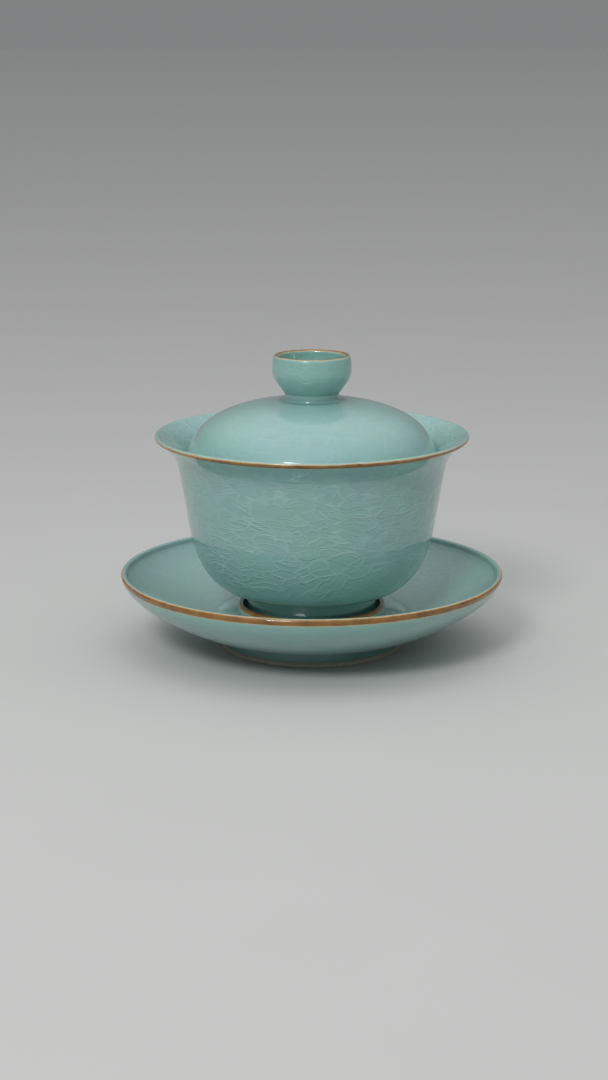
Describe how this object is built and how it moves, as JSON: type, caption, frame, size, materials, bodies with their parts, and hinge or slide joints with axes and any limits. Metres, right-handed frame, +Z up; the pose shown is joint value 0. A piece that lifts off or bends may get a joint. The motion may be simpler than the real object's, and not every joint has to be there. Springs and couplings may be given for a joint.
{
  "type": "gaiwan",
  "caption": "Lidded tea bowl on a saucer: a flared glazed bowl stands in the saucer's ring, and a domed lid with a cup-shaped knob lifts out of its mouth.",
  "frame": {"origin": "centre of the saucer's foot ring, on the plane that it stands on", "axes": "+Z up, along the axis that the saucer, the bowl and the lid share; the object is round, so +X and +Y are any two level directions at a right angle"},
  "size_m": [0.1206, 0.1206, 0.0926],
  "materials": {
    "celadon_glaze": "glossy blue-green celadon glaze with a fine crackle",
    "brown_lip": "glossy brown, where thin glaze lies over an iron wash",
    "wiped_foot": "glazed on the outside, wiped to pale matt stoneware on the standing edge"
  },
  "bodies": {
    "saucer": {"saucer_dish": "celadon_glaze", "saucer_foot_ring": "wiped_foot", "saucer_seat_ring": "celadon_glaze", "saucer_rim_band": "brown_lip"},
    "bowl": {"bowl_shell": "celadon_glaze", "bowl_foot_ring": "wiped_foot", "bowl_rim_band": "brown_lip"},
    "lid": {"lid_dome": "celadon_glaze", "lid_rim_band": "brown_lip", "lid_knob": "celadon_glaze", "knob_rim_band": "brown_lip"}
  },
  "joints": [
    {"name": "bowl_lift", "type": "slide", "parent": "saucer", "child": "bowl", "axis": [0, 0, 1], "range_m": [0, 0.06]},
    {"name": "lid_lift", "type": "slide", "parent": "bowl", "child": "lid", "axis": [0, 0, 1], "range_m": [0, 0.06]}
  ]
}
